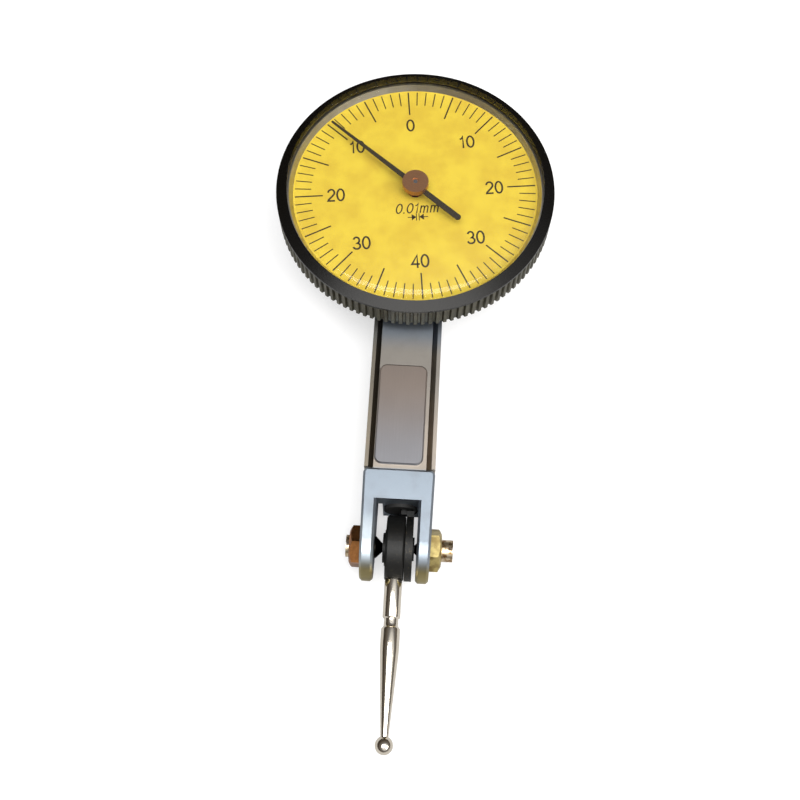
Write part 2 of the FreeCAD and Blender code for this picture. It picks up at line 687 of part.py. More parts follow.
def sector_teeth():
    """How many teeth the sector has on each side of its middle one."""
    pitch_deg = 360 / SECTOR_FULL_TEETH
    return math.ceil(LEVER_SWING * LEVER_STEP_UP / pitch_deg) + SECTOR_SPARE_TEETH


def sector_lever():
    """Lever with a slot for the contact pin at one end and a toothed arc at the other."""
    pitch_deg = 360 / SECTOR_FULL_TEETH
    side = sector_teeth()
    rim = []
    for i in range(-side, side + 1):
        rim += tooth_points(SECTOR_R, SECTOR_MODULE, pitch_deg, i * pitch_deg)
    rim_r = SECTOR_R - SECTOR_RIM
    edge_deg = (side + 0.5) * pitch_deg
    rim += [polar(rim_r, edge_deg), polar(rim_r, 0), polar(rim_r, -edge_deg)]
    rim = side_plate(shifted(rim, SECTOR_Y, MID_Z), SECTOR_X0, SECTOR_X1)
    arms = [
        (SECTOR_Y + rim_r + SECTOR_RIM / 2, -SECTOR_ARM_TIP),
        (SECTOR_Y + rim_r + SECTOR_RIM / 2, SECTOR_ARM_TIP),
        (SECTOR_Y, SECTOR_ARM_ROOT),
        (CONTACT_Y - SECTOR_TOE, SECTOR_ARM_ROOT),
        (CONTACT_Y - SECTOR_TOE, -SECTOR_ARM_ROOT),
        (SECTOR_Y, -SECTOR_ARM_ROOT),
    ]
    arms = side_plate(shifted(arms, 0, MID_Z), SECTOR_X0, SECTOR_X1)
    boss = rod_x(SECTOR_BOSS_R, SECTOR_BOSS_X0, SECTOR_BOSS_X1, SECTOR_Y)
    solid = arms.fuse([rim, boss]).removeSplitter()
    half = TAIL_PIN_R + FIT
    toe_y = CONTACT_Y - SECTOR_TOE - 1
    slot = box(SECTOR_X0 - 1, SECTOR_X1 + 1, toe_y, CONTACT_Y + half, MID_Z - half, MID_Z + half)
    return solid.cut([slot, rod_x(SECTOR_PIN_R + FIT, SECTOR_BOSS_X0 - 1, SECTOR_BOSS_X1 + 1, SECTOR_Y)])


def crown_tooth(angle_deg):
    """One tooth on the face of the crown wheel."""
    pitch = 2 * math.pi * CROWN_R / CROWN_TEETH
    root_half = 0.30 * pitch
    tip_half = 0.12 * pitch
    tip_x = -CENTRE_PINION_R + CROWN_MODULE
    z0 = CROWN_R - CROWN_FACE / 2
    corners = [(CROWN_ROOT_X, -root_half), (CROWN_ROOT_X, root_half), (tip_x, tip_half), (tip_x, -tip_half)]
    outline = [Vector(x, y, z0) for x, y in corners]
    tooth = Part.Face(Part.makePolygon(outline + outline[:1])).extrude(Vector(0, 0, CROWN_FACE))
    tooth.rotate(Vector(0, 0, 0), X_AXIS, angle_deg)
    tooth.translate(Vector(0, 0, MID_Z))
    return tooth


def crown_wheel():
    """Wheel with its teeth on the face, which turns the centre pinion at a right angle."""
    back_x = CROWN_ROOT_X - CROWN_WEB
    solid = rod_x(CROWN_TIP_R - CROWN_FACE * 0.02, back_x, CROWN_ROOT_X)
    solid = solid.fuse(rod_x(CROWN_HUB_R, back_x - CROWN_HUB, back_x))
    cuts = [rod_x(ARBOR_R, back_x - CROWN_HUB - 1, 0)]
    for i in range(CROWN_HOLES):
        y, z = polar(CROWN_HOLE_RING, 360 / CROWN_HOLES * (i + 0.5))
        cuts.append(rod_x(CROWN_HOLE_R, back_x - 1, 0, y, MID_Z + z))
    solid = solid.cut(cuts)
    return solid.fuse([crown_tooth(360 / CROWN_TEETH * i) for i in range(CROWN_TEETH)])


def crown_arbor():
    """Arbor of the crown wheel, cut in one piece with the pinion that the sector turns."""
    x0, x1 = POCKET_X0 + SEAT_PLAY, POCKET_X1 - SEAT_PLAY
    middle = (SECTOR_X0 + SECTOR_X1) / 2
    half = SECTOR_PINION_WIDTH / 2
    outline = shifted(pinion_outline(SECTOR_MODULE, SECTOR_PINION_TEETH), 0, MID_Z)
    pinion = side_plate(outline, middle - half, middle + half)
    pivots = rod_x(PIVOT_R, x0 - PIVOT_LENGTH, x1 + PIVOT_LENGTH)
    return rod_x(ARBOR_R, x0, x1).fuse([pinion, pivots]).removeSplitter()


def crown_jewels():
    """Two bearing jewels of the crown arbor, pressed into the pocket's walls."""
    jewels = []
    for x0 in (POCKET_X0 - JEWEL_THICK, POCKET_X1):
        jewels.append(rod_x(JEWEL_R, x0, x0 + JEWEL_THICK).cut(rod_x(PIVOT_R + FIT, x0 - 1, x0 + 1)))
    return Part.makeCompound(jewels)


def cock_screw_place():
    """Where the cock's screw goes into the bar."""
    return COCK_WIDTH / 2 - COCK_TIP, POCKET_Y + COCK_LEDGE / 2


def centre_cock():
    """Small bar under the case that holds the foot of the centre arbor."""
    x, y = cock_screw_place()
    solid = box(-COCK_TIP, COCK_WIDTH - COCK_TIP, -COCK_TIP, POCKET_Y + COCK_LEDGE, COCK_Z, COCK_TOP)
    jewel_hole = rod_z(COCK_JEWEL_R, COCK_Z - 1, COCK_TOP + 1)
    holes = [jewel_hole, rod_z(COCK_SCREW_R, COCK_Z - 1, COCK_TOP + 1, x, y)]
    return solid.cut(holes)


def cock_screw():
    """Screw that holds the cock on its ledge."""
    x, y = cock_screw_place()
    deep = COCK_SCREW_DEEP + COCK_THICK
    head = (COCK_SCREW_HEAD_R, COCK_SCREW_HEAD, SLOT_WIDTH / 2)
    return slotted_screw(x, y, COCK_TOP, COCK_SCREW_R, deep, *head)


def cock_jewel():
    """Foot bearing of the centre arbor."""
    return ring_z(COCK_JEWEL_R, CENTRE_PIVOT_R + FIT, COCK_Z, COCK_TOP)


def bridge_pillars():
    """Two posts that carry the bridge over the case floor."""
    posts = []
    for x in (-PILLAR_X, PILLAR_X):
        hole = rod_z(BRIDGE_SCREW_R, BRIDGE_Z - BRIDGE_SCREW_DEEP, BRIDGE_Z + 1, x)
        posts.append(rod_z(PILLAR_R, CASE_FLOOR_Z, BRIDGE_Z, x).cut(hole))
    return Part.makeCompound(posts)


def movement_bridge():
    """Plate over the hairspring that holds the upper bearing of the centre arbor."""
    length, width = BRIDGE_LENGTH / 2, BRIDGE_WIDTH / 2
    solid = round_cornered(-length, length, -width, width, BRIDGE_Z, BRIDGE_TOP, BAR_CORNER)
    holes = [rod_z(JEWEL_R, BRIDGE_Z - 1, BRIDGE_TOP + 1)]
    for x in (-PILLAR_X, PILLAR_X):
        holes.append(rod_z(BRIDGE_SCREW_R, BRIDGE_Z - 1, BRIDGE_TOP + 1, x))
    return solid.cut(holes)


def bridge_jewel():
    """Upper bearing of the centre arbor."""
    return ring_z(JEWEL_R, CENTRE_NECK_R + FIT, BRIDGE_Z, BRIDGE_TOP)


def bridge_screws():
    """Two screws that hold the bridge on its pillars."""
    deep = BRIDGE_THICK + BRIDGE_SCREW_DEEP
    head = (BRIDGE_SCREW_HEAD_R, BRIDGE_SCREW_HEAD, SLOT_WIDTH / 2)
    sizes = (BRIDGE_TOP, BRIDGE_SCREW_R, deep, *head)
    return Part.makeCompound([slotted_screw(x, 0, *sizes) for x in (-PILLAR_X, PILLAR_X)])


def centre_arbor():
    """Arbor of the pointer, cut in one piece with the pinion that the crown wheel turns."""
    pinion_z = MID_Z + CROWN_R - CENTRE_PINION_LENGTH / 2
    outline = pinion_outline(CROWN_MODULE, CENTRE_PINION_TEETH)
    pinion = plate(outline, pinion_z, pinion_z + CENTRE_PINION_LENGTH)
    foot = rod_z(CENTRE_PIVOT_R, COCK_Z, COCK_TOP + LOOSE)
    shaft = rod_z(CENTRE_R, COCK_TOP + SEAT_PLAY, BRIDGE_Z - SEAT_PLAY)
    neck = rod_z(CENTRE_NECK_R, BRIDGE_Z - 1, HUB_TOP - POINTER_DIMPLE)
    return shaft.fuse([pinion, foot, neck]).removeSplitter()


def hairspring_collet():
    """Collet that the hairspring's inner end is pinned to."""
    middle = SPRING_Z + SPRING_HEIGHT / 2
    return ring_z(COLLET_R, CENTRE_R, middle - COLLET_HEIGHT / 2, middle + COLLET_HEIGHT / 2)


def spring_start():
    """Mean radius of the hairspring's first half turn."""
    return COLLET_R + SPRING_GAP + SPRING_STRIP / 2


def hairspring():
    """Flat spiral spring that takes up the play of the train, made of half turns."""
    step = SPRING_PITCH / 2
    reach = BRIDGE_LENGTH
    turns = []
    for i in range(SPRING_HALF_TURNS):
        radius = spring_start() + step * i
        outer, inner = radius + SPRING_STRIP / 2, radius - SPRING_STRIP / 2
        half = ring_z(outer, inner, SPRING_Z, SPRING_Z + SPRING_HEIGHT)
        if i % 2 == 0:
            half = half.common(box(-reach, reach, 0, reach, 0, reach))
        else:
            half = half.common(box(-reach, reach, -reach, 0, 0, reach))
            half.translate(Vector(step, 0, 0))
        turns.append(half)
    return turns[0].fuse(turns[1:]).removeSplitter()


def hairspring_stud():
    """Post on the case floor that holds the hairspring's outer end."""
    x = -(spring_start() + SPRING_PITCH / 2 * (SPRING_HALF_TURNS - 1))
    return rod_z(STUD_POST_R, CASE_FLOOR_Z, SPRING_Z + SPRING_HEIGHT + LOOSE, x, -STUD_POST_R)


def knurl_outline():
    """Outline of the bezel's grip: straight ridges all round."""
    pitch_deg = 360 / KNURL_COUNT
    land, floor = KNURL_LAND / 2 * pitch_deg, KNURL_FLOOR / 2 * pitch_deg
    points = []
    for i in range(KNURL_COUNT):
        ridge, groove = i * pitch_deg, (i + 0.5) * pitch_deg
        points += [polar(BEZEL_R, ridge - land), polar(BEZEL_R, ridge + land)]
        floor_r = BEZEL_R - KNURL_DEPTH
        points += [polar(floor_r, groove - floor), polar(floor_r, groove + floor)]
    return points


def bezel_ring():
    """Turning bezel with a knurled grip, which holds the crystal and the dial."""
    knurl_z = BEZEL_BACK + BEZEL_CHAMFER
    core_r = BEZEL_R - KNURL_DEPTH
    dial_back = DIAL_Z - DIAL_THICK
    groove = SNAP_WIRE / 2 + FIT
    groove_r = (CASE_R + BEZEL_BORE_R) / 2 + groove
    body = turned(
        [
            (BEZEL_BORE_R, BEZEL_BACK),
            (core_r - BEZEL_CHAMFER, BEZEL_BACK),
            (core_r, knurl_z),
            (core_r, BEZEL_KNURL_TOP),
            (BEZEL_R, BEZEL_KNURL_TOP),
            (BEZEL_R, BEZEL_FRONT_EDGE),
            (BEZEL_LIP_R, BEZEL_LIP_TOP),
            (BEZEL_LIP_R, FLANGE_Z1),
            (BEZEL_SEAT_R, FLANGE_Z1),
            (BEZEL_SEAT_R, dial_back),
            (BEZEL_BORE_R, dial_back),
            (BEZEL_BORE_R, SNAP_Z + groove),
            (groove_r, SNAP_Z + groove),
            (groove_r, SNAP_Z - groove),
            (BEZEL_BORE_R, SNAP_Z - groove),
        ]
    )
    band = plate(knurl_outline(), knurl_z, BEZEL_KNURL_TOP)
    band = band.cut(rod_z(BEZEL_SEAT_R + LOOSE, 0, BODY_THICK * 2))
    return body.fuse(band)


def dial_ring():
    """Bright slanted ring between dial and crystal."""
    return turned(
        [
            (RING_FOOT_R, DIAL_Z),
            (SEAT_R, DIAL_Z),
            (SEAT_R, FLANGE_Z0),
            (RING_TOP_R, FLANGE_Z0),
        ]
    )


def dial_face():
    """Dial plate, clamped in the bezel, with a notch that sets where its zero lies."""
    disc = ring_z(SEAT_R, DIAL_HOLE_R, DIAL_Z - DIAL_THICK, DIAL_Z)
    x, y = polar(SEAT_R, 90 + DIAL_TURN)
    return disc.cut(rod_z(DIAL_NOTCH_R, DIAL_Z - 1, DIAL_Z + 1, x, y))


def dome(edge_r, edge_z, top_z):
    """(radius, height) points of a shallow dome, from its edge to its middle."""
    rise = top_z - edge_z
    radius = (edge_r**2 + rise**2) / (2 * rise)
    rings = [edge_r * (1 - i / DOME_RINGS) for i in range(DOME_RINGS + 1)]
    return [(r, top_z - radius + math.sqrt(radius**2 - r**2)) for r in rings]


def crystal():
    """Clear cover with a box edge, a slight dome and a flange under the bezel's lip."""
    wall_r = BEZEL_LIP_R - SEAT_PLAY
    inner_r = wall_r - CRYSTAL_WALL
    outer = dome(wall_r - CRYSTAL_BEND, CRYSTAL_SHOULDER, CRYSTAL_TOP)
    inner = dome(inner_r, CRYSTAL_SHOULDER - CRYSTAL_WALL, CRYSTAL_TOP - CRYSTAL_WALL)
    rim = [(inner_r, FLANGE_Z0), (SEAT_R, FLANGE_Z0), (SEAT_R, FLANGE_Z1), (wall_r, FLANGE_Z1)]
    return turned(inner[::-1] + rim + [(wall_r, CRYSTAL_SHOULDER - CRYSTAL_BEND)] + outer)


def pointer_hand():
    """Flat pointer with a long tapered hand and a broad tail."""
    root, tip, tail = POINTER_ROOT_WIDTH / 2, POINTER_TIP_WIDTH / 2, POINTER_TAIL_WIDTH / 2
    right = [(tail, -POINTER_TAIL), (root, 0), (tip, POINTER_TIP)]
    outline = right + [(-x, y) for x, y in reversed(right)]
    solid = plate(outline, POINTER_Z, POINTER_TOP)
    round_end = rod_z(tail, POINTER_Z, POINTER_TOP, 0, -POINTER_TAIL)
    solid = solid.fuse([round_end, rod_z(POINTER_BOSS_R, POINTER_Z, POINTER_TOP)])
    solid = solid.fuse(rod_z(POINTER_BOSS_R, POINTER_Z - POINTER_BOSS, POINTER_Z)).removeSplitter()
    solid = solid.cut(rod_z(CENTRE_NECK_R, POINTER_Z - POINTER_BOSS - 1, POINTER_TOP + 1))
    solid.rotate(Vector(0, 0, 0), Z_AXIS, POINTER_TURN)
    return solid


def pointer_hub():
    """Turned cap that presses the pointer on its arbor."""
    cap = ring_z(POINTER_HUB_R, CENTRE_NECK_R, POINTER_TOP, HUB_TOP)
    return cap.cut(rod_z(POINTER_DIMPLE_R + CENTRE_NECK_R, HUB_TOP - POINTER_DIMPLE, HUB_TOP + 1))


def make_parts():
    """Every node of the instrument, by name."""
    return {
        "body_frame": body_frame(),
        "arm_cover": arm_cover(),
        "dial_case": dial_case(),
        "case_screws": case_screws(),
        "bezel_snap_ring": snap_ring(),
        "pivot_screw_left": pivot_screw(AXLE_X0, -1, LEFT_SCREW_STANDS),
        "pivot_screw_right": pivot_screw(AXLE_X1, 1, RIGHT_SCREW_STANDS),
        "lock_nut_left": lock_nut(-1, 90),
        "lock_nut_right": lock_nut(1, 60),
        "lever_seal": lever_seal(),
        "stylus_hub": stylus_hub(),
        "stylus": stylus(),
        "contact_ball": contact_ball(),
        "measuring_lever": measuring_lever(),
        "lever_axle": lever_axle(),
        "friction_washer": friction_washer(),
        "contact_pin": contact_pin(),
        "sector_pivot_pin": sector_pivot_pin(),
        "sector_lever": sector_lever(),
        "crown_wheel": crown_wheel(),
        "crown_arbor": crown_arbor(),
        "crown_jewels": crown_jewels(),
        "centre_cock": centre_cock(),
        "cock_screw": cock_screw(),
        "cock_jewel": cock_jewel(),
        "bridge_pillars": bridge_pillars(),
        "movement_bridge": movement_bridge(),
        "bridge_jewel": bridge_jewel(),
        "bridge_screws": bridge_screws(),
        "centre_arbor": centre_arbor(),
        "hairspring_collet": hairspring_collet(),
        "hairspring": hairspring(),
        "hairspring_stud": hairspring_stud(),
        "bezel_ring": bezel_ring(),
        "dial_ring": dial_ring(),
        "dial_face": dial_face(),
        "crystal": crystal(),
        "pointer_hand": pointer_hand(),
        "pointer_hub": pointer_hub(),
    }


os.makedirs("parts", exist_ok=True)
for name, shape in make_parts().items():
    shape.exportStep(f"parts/{name}.step")
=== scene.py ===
import math

import bmesh
import bpy
from mathutils import Matrix, Vector


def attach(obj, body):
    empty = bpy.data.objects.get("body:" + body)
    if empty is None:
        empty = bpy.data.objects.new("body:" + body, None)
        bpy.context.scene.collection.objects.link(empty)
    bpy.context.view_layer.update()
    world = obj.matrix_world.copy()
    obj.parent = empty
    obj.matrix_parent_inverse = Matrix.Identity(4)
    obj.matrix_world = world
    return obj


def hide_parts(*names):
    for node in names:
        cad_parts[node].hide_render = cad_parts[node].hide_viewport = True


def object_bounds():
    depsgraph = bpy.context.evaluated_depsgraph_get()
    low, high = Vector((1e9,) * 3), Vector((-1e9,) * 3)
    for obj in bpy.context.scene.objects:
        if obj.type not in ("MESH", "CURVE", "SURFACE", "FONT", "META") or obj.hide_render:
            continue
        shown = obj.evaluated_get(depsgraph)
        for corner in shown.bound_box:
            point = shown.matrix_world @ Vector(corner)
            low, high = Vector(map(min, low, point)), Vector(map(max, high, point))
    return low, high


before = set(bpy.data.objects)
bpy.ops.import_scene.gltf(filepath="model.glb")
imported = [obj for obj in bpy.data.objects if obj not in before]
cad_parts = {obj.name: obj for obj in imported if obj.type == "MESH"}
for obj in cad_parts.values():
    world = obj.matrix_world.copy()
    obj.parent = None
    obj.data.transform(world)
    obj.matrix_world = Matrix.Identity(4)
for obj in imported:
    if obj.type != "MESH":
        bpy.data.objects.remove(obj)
cad_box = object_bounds()
MM = 0.001

# Camera. A phone held over the work bench, above the stylus end and looking back at the dial, so the
# dial is seen as a slight oval and the arm runs towards the lens.
LENS = 45.0
EYE = Vector((2.26, -76.84, 130.17)) * MM
TILT, YAW, ROLL = 2.769, 0.0208, 0.052


def turn(axis, angle):
    return Matrix.Rotation(angle, 3, axis)


def place_camera():
    to_camera = turn("Z", ROLL) @ turn("Y", YAW) @ turn("X", TILT)
    right, down, ahead = to_camera.row
    data = bpy.data.cameras.new("bench_camera")
    data.lens = LENS
    data.sensor_width = 36.0
    data.clip_start = 0.005
    data.clip_end = 20.0
    camera = bpy.data.objects.new("bench_camera", data)
    bpy.context.scene.collection.objects.link(camera)
    axes = Matrix((right, -down, -ahead)).transposed().to_4x4()
    camera.matrix_world = Matrix.Translation(EYE) @ axes
    bpy.context.scene.camera = camera


place_camera()


# Arm and fork. One bar of tool steel, milled with a dovetail rail down each side and a fork at the front
# end that carries the lever, then satin chrome plated. The plating is fine grained and a little cloudy.
class Signal:
    """One shader value. Sums on it add the Math nodes they need."""

    def __init__(self, tree, socket):
        self.tree = tree
        self.socket = socket

    def sum_of(self, operation, *terms):
        node = self.tree.nodes.new("ShaderNodeMath")
        node.operation = operation
        for plug, term in zip(node.inputs, terms):
            feed(self.tree, plug, term)
        return Signal(self.tree, node.outputs[0])

    def __add__(self, other):
        return self.sum_of("ADD", self, other)

    def __sub__(self, other):
        return self.sum_of("SUBTRACT", self, other)

    def __mul__(self, other):
        return self.sum_of("MULTIPLY", self, other)

    def __abs__(self):
        return self.sum_of("ABSOLUTE", self)

    __radd__ = __add__


def feed(tree, plug, value):
    if isinstance(value, Signal):
        tree.links.new(value.socket, plug)
    else:
        plug.default_value = value


def shade(red, green, blue):
    """A colour as it is seen, from 0 to 255, as the shader's own light values."""
    seen = [c / 255 for c in (red, green, blue)]
    return tuple(c / 12.92 if c < 0.04045 else ((c + 0.055) / 1.055) ** 2.4 for c in seen) + (1.0,)


class Finish:
    """A material being mixed: constants go on the shader, and node() adds any other node."""

    def __init__(self, name, **constants):
        self.material = bpy.data.materials.new(name)
        self.material.use_nodes = True
        self.tree = self.material.node_tree
        self.shader = self.tree.nodes["Principled BSDF"]
        for socket, value in constants.items():
            self.shader.inputs[socket.replace("_", " ")].default_value = value

    def node(self, kind, settings=None, inputs=None, out=0):
        made = self.tree.nodes.new(kind)
        for name, value in (settings or {}).items():
            if name == "stops":
                set_stops(made.color_ramp, value)
            else:
                setattr(made, name, value)
        for name, value in (inputs or {}).items():
            feed(self.tree, made.inputs[name], value)
        return Signal(self.tree, made.outputs[out])

    def place(self, centre=(0, 0, 0), stretch=(1, 1, 1), spin=0.0):
        """Object coordinates in millimetres from centre, stretched along each axis."""
        here = self.node("ShaderNodeTexCoord", out="Object")
        moved = self.node("ShaderNodeVectorMath", {"operation": "SUBTRACT"},
                          {0: here, 1: tuple(c * MM for c in centre)})
        return self.node("ShaderNodeMapping", inputs={
            "Vector": moved, "Rotation": (0, 0, spin), "Scale": tuple(1000 * s for s in stretch)})

    def axis(self, place, name):
        return self.node("ShaderNodeSeparateXYZ", inputs={"Vector": place}, out=name)

    def noise(self, place, scale, detail=4.0, rough=0.55):
        return self.node("ShaderNodeTexNoise", inputs={
            "Vector": place, "Scale": scale, "Detail": detail, "Roughness": rough}, out=0)

    def ease(self, value, low, high, start=0.0, end=1.0):
        return self.node("ShaderNodeMapRange", {"interpolation_type": "SMOOTHSTEP"}, {
            "Value": value, "From Min": low, "From Max": high, "To Min": start, "To Max": end})

    def mix(self, factor, one, two):
        return self.node("ShaderNodeMix", {"data_type": "RGBA"}, {0: factor, 6: one, 7: two}, out=2)

    def set(self, **sockets):
        for name, value in sockets.items():
            feed(self.tree, self.shader.inputs[name.replace("_", " ")], value)

    def bump(self, height, strength, distance=0.02):
        self.set(Normal=self.node("ShaderNodeBump", inputs={
            "Height": height, "Strength": strength, "Distance": distance * MM}, out="Normal"))


def set_stops(ramp, stops):
    while len(ramp.elements) < len(stops):
        ramp.elements.new(0.5)
    for element, (position, colour) in zip(ramp.elements, stops):
        element.position = position
        element.color = colour


def dress(finish, *nodes):
    for name in nodes:
        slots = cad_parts[name].data.materials
        slots.clear()
        slots.append(finish.material)


def satin_chrome():
    f = Finish("satin_chrome", Metallic=1.0)
    at = f.place()
    across, along, up = (f.axis(at, name) for name in "XYZ")
    cloud = f.noise(at, 0.3, 4.0)
    grain = f.noise(at, 9.0, 3.0)
    brushed = f.noise(f.place(stretch=(6, 0.25, 6)), 1.6, 3.0)
    # Painted light and shade along the bar: darker towards the bezel and bluish dark right beside it, a
    # painted shade and reflection of the bezel; the fork block paler blue, a painted reflection of the bright
    # room; the lower left fork arm lighter, a painted highlight; the rounded ends olive, a painted reflection
    # of the warm bench.
    bar = f.mix(f.ease(along, -34.0, -24.5), shade(176, 166, 154), shade(158, 152, 144))
    bar = f.mix(f.ease(along, -22.5, -19.0), bar, shade(132, 140, 150))
    tone = f.mix(f.ease(along, -38.4, -38.7), bar, shade(156, 167, 178))
    tone = f.mix(f.ease(along, -44.0, -47.0) * f.ease(across, 1.0, -1.0), tone, shade(190, 201, 208))
    tone = f.mix(f.ease(along, -50.2, -51.6), tone, shade(152, 140, 96))
    # The left rail is painted darker, a painted shade on the side turned away from the light.
    shaded_left_rail = f.ease(across, -3.3, -3.45) * f.ease(along, -38.7, -38.4)
    tone = f.mix(shaded_left_rail * 0.6, tone, shade(112, 104, 84))
    f.set(Base_Color=f.mix(f.ease(cloud, 0.4, 0.7) * 0.2 + grain * 0.12, tone, shade(110, 106, 102)))
    f.set(Roughness=0.33 + cloud * 0.1 + brushed * 0.08)
    f.bump(grain * 0.6 + brushed * 0.4, 0.22)
    return f


dress(satin_chrome(), "body_frame")


# Arm cover. A thin strip of steel let into the top of the bar over the lever channel, ground lengthways
# and held by its tight fit; a dark joint line runs round it.
def ground_steel():
    f = Finish("ground_steel", Metallic=1.0)
    at = f.place()
    along = f.axis(at, "Y")
    lines = f.noise(f.place(stretch=(9, 0.18, 1)), 1.8, 4.0)
    cloud = f.noise(at, 0.3, 3.0)
    tone = f.mix(f.ease(along, -37.6, -26.0), shade(150, 150, 154), shade(160, 146, 136))
    f.set(Base_Color=f.mix(lines * 0.25 + cloud * 0.15, tone, shade(112, 106, 102)))
    f.set(Roughness=0.28 + lines * 0.14)
    f.bump(lines, 0.25)
    return f


dress(ground_steel(), "arm_cover")


# Case. A shallow pan pressed from brass sheet and plated dull gray, screwed to the bar from inside.
def plated_gray():
    f = Finish("plated_gray", Metallic=1.0)
    at = f.place()
    cloud = f.noise(at, 0.35)
    grain = f.noise(at, 7.0, 3.0)
    f.set(Base_Color=f.mix(cloud * 0.5 + grain * 0.2, shade(168, 168, 166), shade(112, 112, 110)))
    f.set(Roughness=0.32 + grain * 0.14)
    f.bump(grain, 0.15)
    return f


dress(plated_gray(), "dial_case", "hairspring_stud")


# Screws. Turned from steel rod and plated, with a warm cast where the plating
# has worn on the threads.
def plated_screw():
    f = Finish("plated_screw", Metallic=1.0)
    at = f.place()
    wear = f.noise(at, 1.6, 4.0)
    turned = f.noise(f.place(stretch=(9, 0.6, 0.6)), 2.0, 2.0)
    worn = f.mix(f.ease(wear, 0.42, 0.62), shade(206, 190, 160), shade(138, 104, 64))
    # Where the pivot screws reach inside the fork between the arms they are painted near black, a painted
    # shade between the parts.
    inside = f.ease(abs(f.axis(at, "X")), 4.2, 3.9) * f.ease(f.axis(at, "Y"), -44.0, -46.0)
    f.set(Base_Color=f.mix(inside, worn, shade(22, 20, 17)))
    f.set(Roughness=0.22 + turned * 0.2)
    f.bump(turned, 0.3)
    return f


dress(plated_screw(), "pivot_screw_left", "pivot_screw_right", "case_screws", "bridge_screws", "cock_screw")


# Lock nuts. Six-sided brass nuts that lock the pivot screws in the fork, lacquered and grown dark with
# handling. The right nut is painted lighter and yellower than the left, a painted light from the right.
def handled_brass():
    f = Finish("handled_brass", Metallic=1.0)
    at = f.place()
    stain = f.noise(at, 0.9, 4.0)
    fine = f.noise(at, 8.0, 3.0)
    # Painted light: from left to right the nuts go from dark copper to pale olive gold, as if lit from the
    # right.
    bright = f.mix(f.ease(f.axis(at, "X"), -1.0, 1.0), shade(158, 106, 62), shade(188, 170, 112))
    f.set(Base_Color=f.mix(f.ease(stain, 0.4, 0.68) * 0.6, bright, shade(84, 56, 26)))
    f.set(Roughness=0.26 + stain * 0.2)
    f.bump(fine, 0.2)
    return f


dress(handled_brass(), "lock_nut_left", "lock_nut_right")


# Lever, its hub, axle and washer. Steel with a black oxide skin, slightly oily, worn to brown where the cheek
# rubs on the friction washer.
def black_oxide():
    f = Finish("black_oxide", Metallic=0.35, Specular_IOR_Level=0.5)
    at = f.place()
    wear = f.noise(at, 2.4, 5.0, 0.7)
    fine = f.noise(at, 12.0, 3.0)
    cheek = f.ease(f.axis(at, "X"), 1.2, 1.3)
    rubbed = f.ease(wear, 0.56, 0.72) * (0.15 + cheek * 0.7)
    f.set(Base_Color=f.mix(rubbed, shade(14, 14, 12), shade(92, 80, 56)))
    f.set(Roughness=0.38 + fine * 0.25)
    f.bump(fine + wear, 0.35, 0.04)
    return f


oxide = black_oxide()
dress(oxide, "measuring_lever", "stylus_hub", "lever_axle", "friction_washer", "bezel_snap_ring")


def black_rubber():
    f = Finish("black_rubber", Specular_IOR_Level=0.35)
    at = f.place()
    fine = f.noise(at, 10.0, 3.0)
    f.set(Base_Color=f.mix(fine, shade(14, 14, 14), shade(34, 33, 31)))
    f.set(Roughness=0.55 + fine * 0.2)
    f.bump(fine, 0.3)
    return f


dress(black_rubber(), "lever_seal")


# Stylus and ball. A turned steel stem, ground and polished, with a carbide ball brazed to its tip.
def polished_steel():
    f = Finish("polished_steel", Metallic=1.0)
    at = f.place()
    film = f.noise(at, 0.8, 3.0)
    rings = f.noise(f.place(stretch=(0.4, 10, 0.4)), 2.2, 2.0)
    f.set(Base_Color=f.mix(film * 0.5, shade(226, 220, 208), shade(190, 172, 146)))
    f.set(Roughness=0.08 + rings * 0.09)
    f.bump(rings, 0.12)
    return f


polished = polished_steel()
dress(polished, "contact_pin", "sector_pivot_pin")


def new_piece(name, mesh):
    piece = bpy.data.objects.new(name, mesh)
    bpy.context.scene.collection.objects.link(piece)
    return piece


def turned_mesh(name, outline, sides=96, sharp=28.0):
    """A solid of revolution round Z, from an outline of (radius, height) in millimetres."""
    body = bmesh.new()
    rings = []
    for radius, height in outline:
        if radius < 1e-6:
            rings.append([body.verts.new((0, 0, height * MM))])
            continue
        spots = [2 * math.pi * k / sides for k in range(sides)]
        rings.append([body.verts.new((radius * math.cos(a) * MM, radius * math.sin(a) * MM, height * MM))
                      for a in spots])
    for lower, upper in zip(rings, rings[1:] + rings[:1]):
        for k in range(sides):
            corners = []
            for ring, place in ((lower, k), (lower, k + 1), (upper, k + 1), (upper, k)):
                corner = ring[place % len(ring)]
                if corner not in corners:
                    corners.append(corner)
            if len(corners) > 2:
                body.faces.new(corners)
    bmesh.ops.recalc_face_normals(body, faces=body.faces)
    for edge in body.edges:
        edge.smooth = not edge.is_manifold or edge.calc_face_angle() < math.radians(sharp)
    for face in body.faces:
        face.smooth = True
    mesh = bpy.data.meshes.new(name)
    body.to_mesh(mesh)
    body.free()
    return mesh


